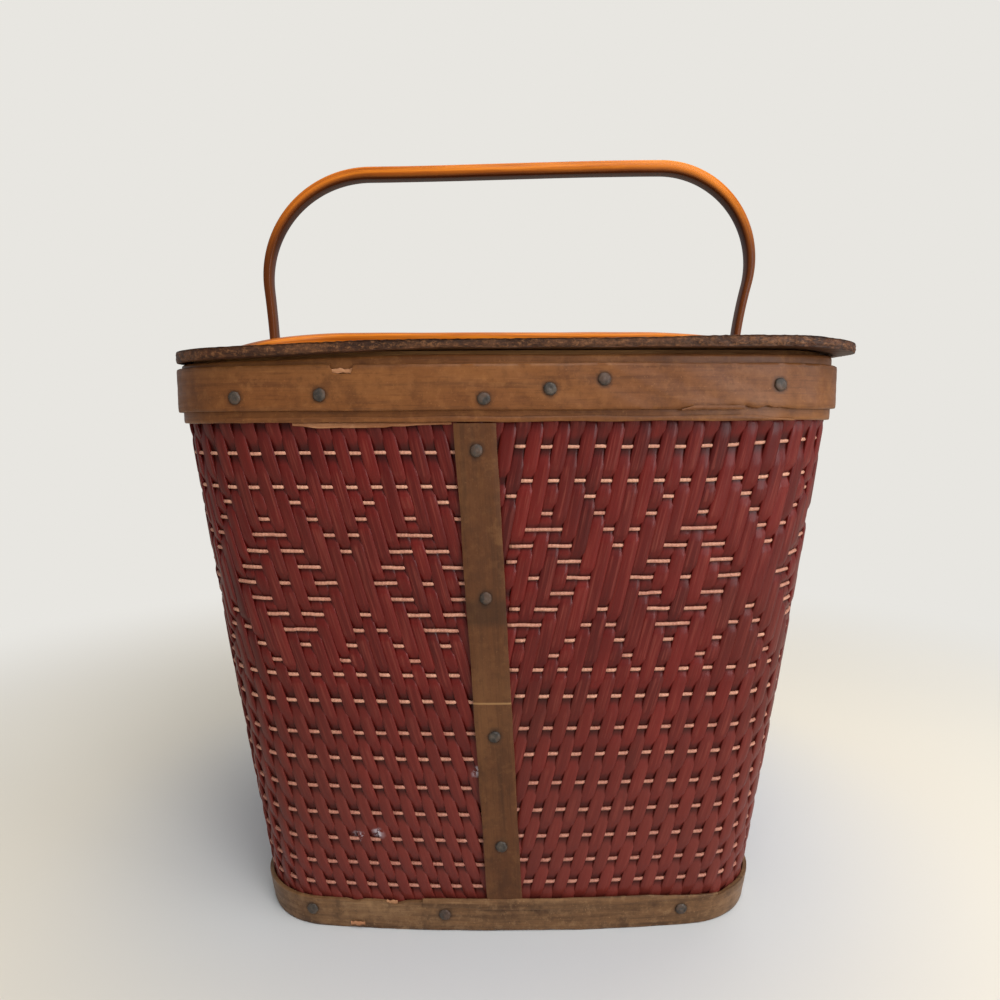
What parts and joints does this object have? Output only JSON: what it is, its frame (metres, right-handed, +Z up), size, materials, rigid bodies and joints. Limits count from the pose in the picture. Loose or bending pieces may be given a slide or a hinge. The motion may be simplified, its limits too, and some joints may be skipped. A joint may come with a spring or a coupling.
{
  "type": "picnic basket",
  "caption": "Tapered woven splint basket with nailed wooden hoops, a hinged flat lid and two bentwood swing handles.",
  "frame": {"origin": "under the middle of the basket, on the surface it stands on", "axes": "+Z up, -Y towards the seam batten and the front flap, +X along the handles' bars"},
  "size_m": [0.35, 0.294, 0.427],
  "materials": {
    "weave": "glossy painted splints, tan cords",
    "rim_splint": "satin, worn",
    "batten_splint": "satin, worn",
    "base_splint": "satin, worn",
    "reed": "raw",
    "plain_wood": "raw, aged",
    "lid_wood": "satin, worn edges",
    "handle_varnish": "glossy varnish",
    "nail_steel": "dark, aged",
    "bolt_steel": "dull zinc",
    "hinge_brass": "aged"
  },
  "bodies": {
    "basket": {"woven_wall": "weave", "bottom_board": "plain_wood", "base_band": "base_splint", "base_nails": "nail_steel", "rim_wide_hoop": "rim_splint", "rim_nailed_hoop": "rim_splint", "rim_inner_hoop": "plain_wood", "rim_reed_strip": "reed", "rim_nails": "nail_steel", "rim_long_nails": "nail_steel", "seam_batten_outer": "batten_splint", "seam_batten_inner": "plain_wood", "batten_nails": "nail_steel", "lid_back_board": "lid_wood", "lid_crossbar": "plain_wood", "lid_back_cleat": "plain_wood", "lid_nails": "nail_steel", "hinge_leaves_fixed": "hinge_brass", "hinge_pins": "hinge_brass", "hinge_screws_fixed": "hinge_brass", "pivot_bolts": "bolt_steel", "pivot_spacers": "bolt_steel", "pivot_washers": "bolt_steel", "pivot_nuts": "bolt_steel"},
    "front_flap": {"lid_front_flap": "lid_wood", "hinge_leaves_flap": "hinge_brass", "hinge_screws_flap": "hinge_brass"},
    "near_handle": {"near_handle_bow": "handle_varnish"},
    "far_handle": {"far_handle_bow": "handle_varnish"}
  },
  "joints": [
    {"name": "front_flap_hinge", "type": "hinge", "parent": "basket", "child": "front_flap", "pos_m": [0, 0.022, 0.2875], "axis": [-1, 0, 0], "range_deg": [0, 95]},
    {"name": "near_handle_swing", "type": "hinge", "parent": "basket", "child": "near_handle", "pos_m": [0, -0.076, 0.263], "axis": [1, 0, 0], "range_deg": [-1, 220]},
    {"name": "far_handle_swing", "type": "hinge", "parent": "basket", "child": "far_handle", "pos_m": [0, 0.076, 0.263], "axis": [-1, 0, 0], "range_deg": [-5, 145]}
  ]
}
